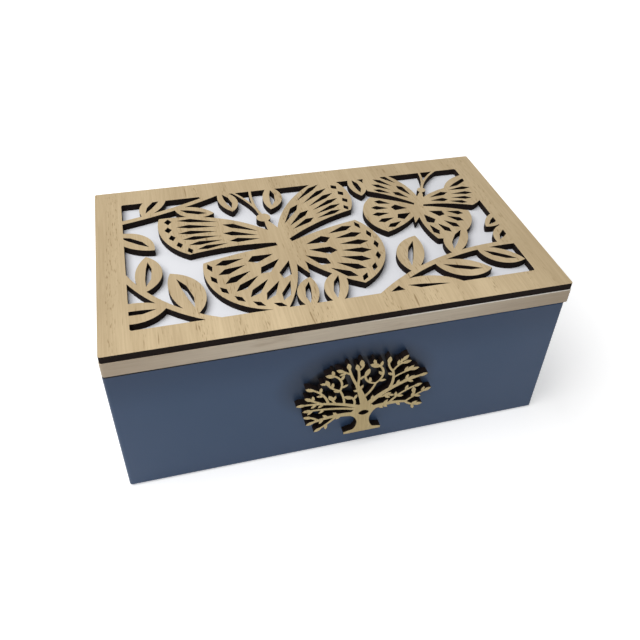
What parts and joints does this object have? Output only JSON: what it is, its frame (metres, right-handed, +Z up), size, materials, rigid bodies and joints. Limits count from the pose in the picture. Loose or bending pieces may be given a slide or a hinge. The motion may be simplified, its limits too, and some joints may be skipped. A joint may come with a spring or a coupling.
{
  "type": "hinged wooden storage box",
  "caption": "Rectangular wooden keepsake box with a hinged lid, a cut-out fretwork panel on the lid and a cut-out tree ornament on the front.",
  "frame": {"origin": "middle of the underside, where the box rests", "axes": "+Z up, +X to the right along the front, -Y out of the front face towards the viewer"},
  "size_m": [0.2419, 0.147, 0.098],
  "materials": {
    "blue_paint": "satin slate-blue paint on wood",
    "bare_wood": "plain thin board",
    "rail_wood": "bare sanded wood",
    "cut_out_wood": "pale veneered sheet with dark cut edges",
    "white_board": "matt white painted board",
    "hinge_brass": "satin brass"
  },
  "bodies": {
    "case": {"front_wall": "blue_paint", "back_wall": "blue_paint", "left_wall": "blue_paint", "right_wall": "blue_paint", "bottom_panel": "bare_wood", "tree_ornament": "cut_out_wood", "left_hinge_case_leaf": "hinge_brass", "right_hinge_case_leaf": "hinge_brass", "left_hinge_pin": "hinge_brass", "right_hinge_pin": "hinge_brass", "case_hinge_tacks": "hinge_brass"},
    "lid": {"lid_front_rail": "rail_wood", "lid_back_rail": "rail_wood", "lid_left_rail": "rail_wood", "lid_right_rail": "rail_wood", "lid_board": "white_board", "fretwork_panel": "cut_out_wood", "left_hinge_lid_leaf": "hinge_brass", "right_hinge_lid_leaf": "hinge_brass", "lid_hinge_tacks": "hinge_brass"}
  },
  "joints": [
    {"name": "lid_hinge", "type": "hinge", "parent": "case", "child": "lid", "pos_m": [0, 0.0715, 0.085], "axis": [-1, 0, 0], "range_deg": [0, 180]}
  ]
}
